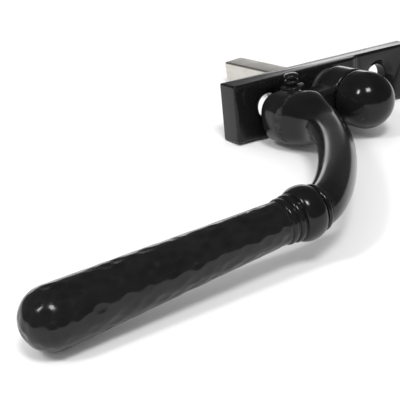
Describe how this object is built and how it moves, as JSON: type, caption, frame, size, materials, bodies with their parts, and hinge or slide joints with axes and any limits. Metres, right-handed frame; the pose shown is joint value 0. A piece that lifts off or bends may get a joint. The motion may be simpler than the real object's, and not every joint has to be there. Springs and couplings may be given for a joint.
{
  "type": "lever handle on backplate",
  "caption": "Cranked lever handle with a hammered grip, beaded collar and bullet-ended pivot, turning in a narrow countersunk backplate and driving a square spindle.",
  "frame": {"origin": "where the spindle axis meets the flat back face of the backplate", "axes": "+Y to the back, along the spindle into the frame or door; +X along the backplate, away from the grip; +Z across the backplate, up as the pictured handle lies"},
  "size_m": [0.1642, 0.1239, 0.0251],
  "materials": {
    "black_plate": "satin black powder coat",
    "black_lever": "glossy black coat",
    "black_hammered": "glossy black coat over a hammered surface",
    "black_nylon": "matt",
    "bright_steel": "zinc plated",
    "spring_steel": "oiled",
    "spindle_steel": "bright drawn, zinc plated"
  },
  "bodies": {
    "mounting": {"backplate": "black_plate", "pivot_bush": "black_nylon", "front_washer": "black_nylon", "rear_cover": "bright_steel", "cover_screws": "bright_steel", "detent_balls": "bright_steel", "detent_springs": "spring_steel"},
    "lever": {"lever_body": "black_lever", "hub_pin": "black_lever", "swan_neck": "black_lever", "collar": "black_lever", "grip": "black_hammered", "tang_pin": "black_hammered", "knob": "black_lever", "knob_stud": "bright_steel", "spindle": "spindle_steel", "spindle_screw": "bright_steel", "index_cam": "bright_steel", "thrust_washer": "bright_steel", "wave_washer": "spring_steel", "circlip": "spring_steel"}
  },
  "joints": [
    {"name": "lever_turn", "type": "hinge", "parent": "mounting", "child": "lever", "pos_m": [0, 0, 0], "axis": [0, 1, 0], "range_deg": [-86.1, 93.9]}
  ]
}
